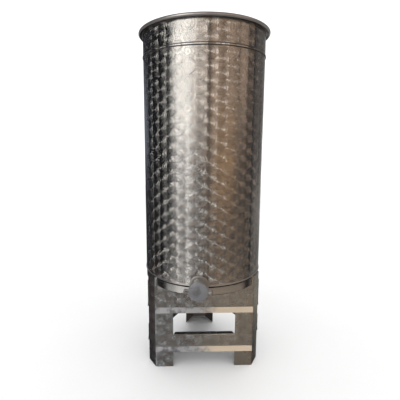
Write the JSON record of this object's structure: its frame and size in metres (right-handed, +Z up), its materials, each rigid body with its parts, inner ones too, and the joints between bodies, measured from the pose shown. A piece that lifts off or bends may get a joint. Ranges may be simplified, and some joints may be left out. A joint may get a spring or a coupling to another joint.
{
  "type": "vertical storage tank",
  "caption": "Open-topped round stainless tank with a rolled rim and a gate valve, on a three-legged stand of folded sheet joined by aprons and lower rails",
  "frame": {"origin": "on the floor, under the middle of the bounding box; the tank's own axis stands 35 mm behind it, because the valve reaches forward", "axes": "+Z up along the tank, -Y the way the gate valve points, +X to the right of someone who faces the valve"},
  "size_m": [0.5556, 0.6258, 1.4356],
  "materials": {
    "jewelled_steel": "jewelled with overlapping polished circles",
    "plain_steel": "plain bright sheet",
    "stand_steel": "jewelled sheet, duller than the shell",
    "gate_steel": "satin casting",
    "screw_steel": "plain turned steel",
    "seal_rubber": "matt pale silicone"
  },
  "bodies": {
    "root": {"shell_wall": "jewelled_steel", "rolled_rim": "plain_steel", "bottom_skirt": "plain_steel", "bottom_plate": "plain_steel", "leg_front_left": "stand_steel", "leg_front_right": "stand_steel", "leg_rear": "stand_steel", "apron_front": "stand_steel", "apron_rear_left": "stand_steel", "apron_rear_right": "stand_steel", "lower_rail_front": "stand_steel", "lower_rail_rear_left": "stand_steel", "lower_rail_rear_right": "stand_steel", "outlet_neck": "plain_steel", "neck_collar": "plain_steel", "gate_body": "gate_steel", "gate_seal": "seal_rubber", "pivot_screw": "screw_steel", "pivot_nut": "screw_steel", "clamp_stud": "screw_steel", "wing_nut": "screw_steel"},
    "flap": {"gate_flap": "gate_steel"}
  },
  "joints": [
    {"name": "gate_pivot", "type": "hinge", "parent": "root", "child": "flap", "pos_m": [0.0475, -0.2908, 0.425], "axis": [0, 1, 0], "range_deg": [0, 95]}
  ]
}
